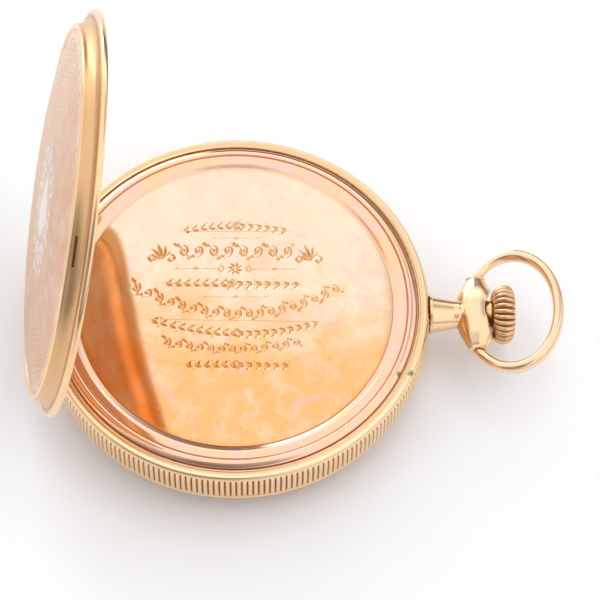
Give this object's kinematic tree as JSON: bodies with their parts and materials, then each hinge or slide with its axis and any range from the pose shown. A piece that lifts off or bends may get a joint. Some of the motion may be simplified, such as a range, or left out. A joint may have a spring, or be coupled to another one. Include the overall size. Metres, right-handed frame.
{
  "type": "hunter pocket watch",
  "caption": "Hunter pocket watch with hinged back cover, inner dust cover, front cover, reeded band, bow and crown, over a full lever movement.",
  "frame": {"origin": "centre of the flat on the closed front cover that the watch rests on, under the centre of the case band, whose mid-plane is 7.2 mm above it", "axes": "+X to the pendant and crown at 3 o'clock, -X to the cover hinges, +Z out of the back of the watch, -Z out of the dial; the back cover stands open 77.56 degrees at rest and the watch lies dial down"},
  "size_m": [0.0715, 0.052, 0.0585],
  "materials": {
    "case_gold": "polished rose-yellow gold-filled case metal, with a reeded band",
    "bow_gold": "polished gold-filled wire",
    "crown_gold": "ribbed gold-filled, darkened in the grooves",
    "engraved_gold": "satin engine-turned face with a polished rim",
    "cuvette_gold": "mirror-polished with light tarnish and shallow engraved ornament",
    "crystal": "clear domed watch glass",
    "dial_enamel": "white fired enamel with black markings",
    "blued_steel": "heat-blued polished steel",
    "screw_steel": "blued slotted screws",
    "nickel": "nickel with damaskeened stripes",
    "train_brass": "gilt brass",
    "ruby": "synthetic ruby",
    "polished_steel": "polished steel"
  },
  "bodies": {
    "case": {"case_center": "case_gold", "pendant": "case_gold", "pendant_sleeve": "polished_steel", "back_hinge_pin": "case_gold", "front_hinge_pin": "case_gold", "bezel": "case_gold", "crystal": "crystal", "lock_spring": "polished_steel", "lift_spring": "polished_steel", "dial": "dial_enamel", "pillar_plate": "nickel", "barrel_bridge": "nickel", "train_bridge": "nickel", "balance_cock": "nickel", "pallet_bridge": "nickel", "hairspring": "blued_steel", "balance_cap": "ruby", "click_spring": "polished_steel", "click_screw": "screw_steel", "crown_wheel_screw": "screw_steel", "barrel_bridge_screw_1": "screw_steel", "barrel_bridge_screw_2": "screw_steel", "train_bridge_screw_1": "screw_steel", "train_bridge_screw_2": "screw_steel", "balance_cock_screw": "screw_steel", "pallet_bridge_screw": "screw_steel", "case_screw_1": "screw_steel", "case_screw_2": "screw_steel"},
    "back_cover": {"back_cover": "engraved_gold"},
    "cuvette": {"cuvette": "cuvette_gold"},
    "front_cover": {"front_cover": "engraved_gold"},
    "bow": {"bow": "bow_gold"},
    "winding_pinion": {"winding_pinion": "polished_steel"},
    "stem_and_crown": {"winding_stem": "polished_steel", "crown": "crown_gold"},
    "clutch": {"clutch": "polished_steel"},
    "setting_lever": {"setting_lever": "polished_steel"},
    "clutch_lever": {"clutch_lever": "polished_steel"},
    "crown_wheel": {"crown_wheel": "polished_steel"},
    "ratchet": {"ratchet_wheel": "polished_steel", "ratchet_screw": "screw_steel", "barrel_arbor": "polished_steel"},
    "click": {"click": "polished_steel"},
    "fourth_wheel": {"fourth_wheel": "train_brass", "seconds_hand": "blued_steel"},
    "third_wheel": {"third_wheel": "train_brass"},
    "centre_wheel": {"centre_wheel": "train_brass", "cannon_pinion": "polished_steel", "minute_hand": "blued_steel"},
    "barrel": {"mainspring_barrel": "train_brass", "barrel_cover": "train_brass", "mainspring": "polished_steel"},
    "escape_wheel": {"escape_wheel": "polished_steel"},
    "minute_wheel": {"minute_wheel": "train_brass"},
    "hour_wheel": {"hour_wheel": "train_brass", "hour_hand": "blued_steel"},
    "setting_wheel": {"setting_wheel": "polished_steel"},
    "pallet_fork": {"pallet_fork": "polished_steel"},
    "balance": {"balance_wheel": "train_brass"},
    "regulator": {"regulator": "polished_steel"}
  },
  "joints": [
    {"name": "back_cover_hinge", "type": "hinge", "parent": "case", "child": "back_cover", "pos_m": [-0.02455, 0, 0.0092], "axis": [0, -1, 0], "range_deg": [-77.56, 12]},
    {"name": "cuvette_hinge", "type": "hinge", "parent": "case", "child": "cuvette", "pos_m": [-0.02455, 0, 0.0092], "axis": [0, -1, 0], "range_deg": [0, 74]},
    {"name": "front_cover_hinge", "type": "hinge", "parent": "case", "child": "front_cover", "pos_m": [-0.02455, 0, 0.0052], "axis": [0, 1, 0], "range_deg": [0, 88]},
    {"name": "bow_swing", "type": "hinge", "parent": "case", "child": "bow", "pos_m": [0.0325, 0, 0.0072], "axis": [0, -1, 0], "range_deg": [-88, 62]},
    {"name": "crown_turn", "type": "hinge", "parent": "case", "child": "winding_pinion", "pos_m": [0.0147, 0, 0.0072], "axis": [1, 0, 0], "continuous": true},
    {"name": "crown_pull", "type": "slide", "parent": "winding_pinion", "child": "stem_and_crown", "axis": [1, 0, 0], "range_m": [-0.0004, 0.0011]},
    {"name": "clutch_slide", "type": "slide", "parent": "winding_pinion", "child": "clutch", "axis": [1, 0, 0], "range_m": [-0.0007, 0.0003]},
    {"name": "setting_lever_turn", "type": "hinge", "parent": "case", "child": "setting_lever", "pos_m": [0.017, -0.0034, 0.0072], "axis": [0, 0, 1], "range_deg": [-22, 8.2]},
    {"name": "clutch_lever_turn", "type": "hinge", "parent": "case", "child": "clutch_lever", "pos_m": [0.0132, 0.0053, 0.0072], "axis": [0, 0, 1], "range_deg": [-9.2, 3.6]},
    {"name": "crown_wheel_turn", "type": "hinge", "parent": "case", "child": "crown_wheel", "pos_m": [0.0103, 0, 0.00905], "axis": [0, 0, 1], "continuous": true},
    {"name": "ratchet_turn", "type": "hinge", "parent": "case", "child": "ratchet", "pos_m": [0.00484, -0.00838, 0.00905], "axis": [0, 0, 1], "continuous": true},
    {"name": "click_swing", "type": "hinge", "parent": "case", "child": "click", "pos_m": [0.01198, -0.01098, 0.009], "axis": [0, 0, -1], "range_deg": [0, 8]},
    {"name": "seconds_turn", "type": "hinge", "parent": "case", "child": "fourth_wheel", "pos_m": [0, 0.0098, 0.0072], "axis": [0, 0, 1], "continuous": true},
    {"name": "third_turn", "type": "hinge", "parent": "case", "child": "third_wheel", "pos_m": [0.00289, 0.0056, 0.0072], "axis": [0, 0, 1], "continuous": true},
    {"name": "minutes_turn", "type": "hinge", "parent": "case", "child": "centre_wheel", "pos_m": [0, 0, 0.0072], "axis": [0, 0, 1], "continuous": true},
    {"name": "barrel_turn", "type": "hinge", "parent": "case", "child": "barrel", "pos_m": [0.00484, -0.00838, 0.0077], "axis": [0, 0, 1], "continuous": true},
    {"name": "escape_turn", "type": "hinge", "parent": "case", "child": "escape_wheel", "pos_m": [-0.00413, 0.0083, 0.00676], "axis": [0, 0, 1], "continuous": true},
    {"name": "minute_wheel_turn", "type": "hinge", "parent": "case", "child": "minute_wheel", "pos_m": [0.0036, 0, 0.0049], "axis": [0, 0, 1], "continuous": true},
    {"name": "hours_turn", "type": "hinge", "parent": "case", "child": "hour_wheel", "pos_m": [0, 0, 0.00455], "axis": [0, 0, 1], "continuous": true},
    {"name": "setting_wheel_turn", "type": "hinge", "parent": "case", "child": "setting_wheel", "pos_m": [0.00857, 0, 0.0052], "axis": [0, 0, 1], "continuous": true},
    {"name": "pallet_rock", "type": "hinge", "parent": "case", "child": "pallet_fork", "pos_m": [-0.00745, 0.00598, 0.00676], "axis": [0, 0, 1], "range_deg": [-5, 5]},
    {"name": "balance_swing", "type": "hinge", "parent": "case", "child": "balance", "pos_m": [-0.012, 0.0028, 0.0078], "axis": [0, 0, 1], "range_deg": [-270, 270]},
    {"name": "regulator_turn", "type": "hinge", "parent": "case", "child": "regulator", "pos_m": [-0.012, 0.0028, 0.0094], "axis": [0, 0, 1], "range_deg": [-20, 20]}
  ],
  "couplings": [
    {"joint": "clutch_slide", "follows": "crown_pull", "ratio": -0.6},
    {"joint": "setting_lever_turn", "follows": "crown_pull", "rad_per_m": -335},
    {"joint": "clutch_lever_turn", "follows": "crown_pull", "rad_per_m": -140},
    {"joint": "crown_wheel_turn", "follows": "crown_turn", "ratio": -0.44444},
    {"joint": "ratchet_turn", "follows": "crown_turn", "ratio": 0.36364},
    {"joint": "third_turn", "follows": "seconds_turn", "ratio": -0.13333},
    {"joint": "minutes_turn", "follows": "seconds_turn", "ratio": 0.016667},
    {"joint": "barrel_turn", "follows": "seconds_turn", "ratio": -0.0025641},
    {"joint": "escape_turn", "follows": "seconds_turn", "ratio": -10},
    {"joint": "minute_wheel_turn", "follows": "seconds_turn", "ratio": -0.0055556},
    {"joint": "hours_turn", "follows": "seconds_turn", "ratio": 0.0013889},
    {"joint": "setting_wheel_turn", "follows": "seconds_turn", "ratio": 0.0066667}
  ]
}
